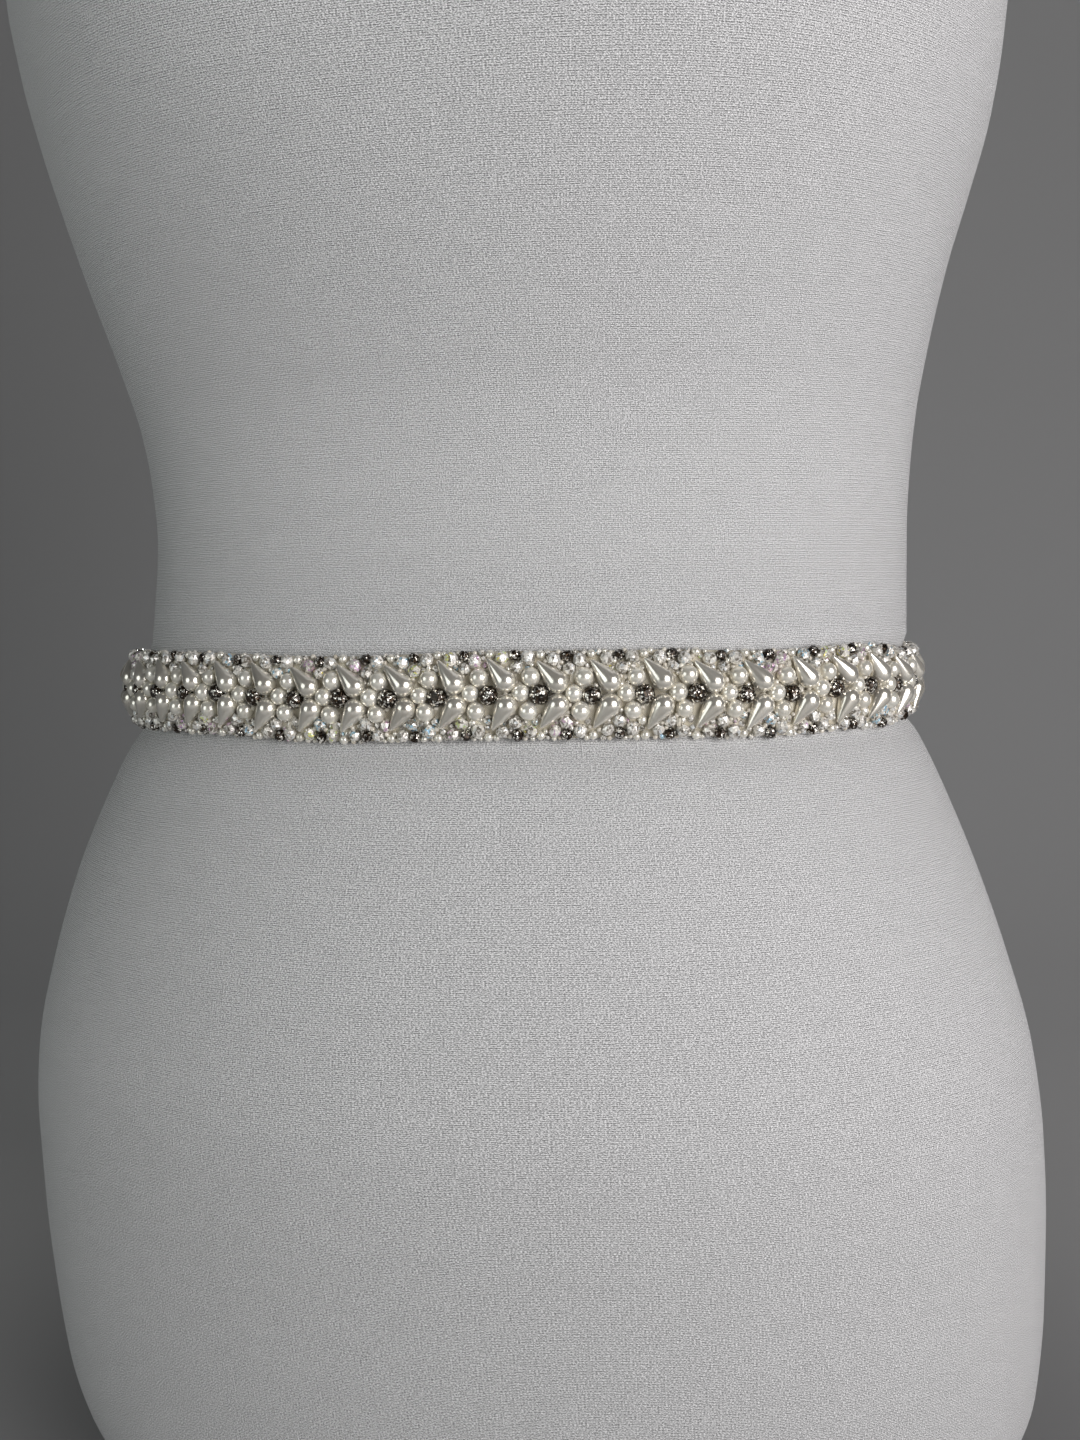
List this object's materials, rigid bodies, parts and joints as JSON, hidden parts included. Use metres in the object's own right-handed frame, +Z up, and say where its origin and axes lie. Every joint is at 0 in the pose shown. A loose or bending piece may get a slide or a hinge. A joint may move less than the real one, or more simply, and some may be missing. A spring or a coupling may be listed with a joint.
{
  "type": "bridal sash on dress form",
  "caption": "Narrow beaded bridal sash of pearls, teardrops, crystals and dark stones on a satin ribbon, worn round the waist of a limbless jersey-covered dress form.",
  "frame": {"origin": "centre of the flat base that the dress form stands on, under the middle of the part's bounding box", "axes": "+Z up along the torso, -Y towards the form's front, +X to the right of someone who looks at the front"},
  "size_m": [0.3506, 0.2574, 0.81],
  "materials": {
    "pale_grey_jersey": "matte fine knit",
    "ivory_satin": "soft satin sheen",
    "ivory_pearl_beadwork": "pearlescent beads on net"
  },
  "bodies": {
    "root": {"dress_form": "pale_grey_jersey", "satin_ribbon": "ivory_satin", "beaded_trim": "ivory_pearl_beadwork"}
  },
  "joints": []
}
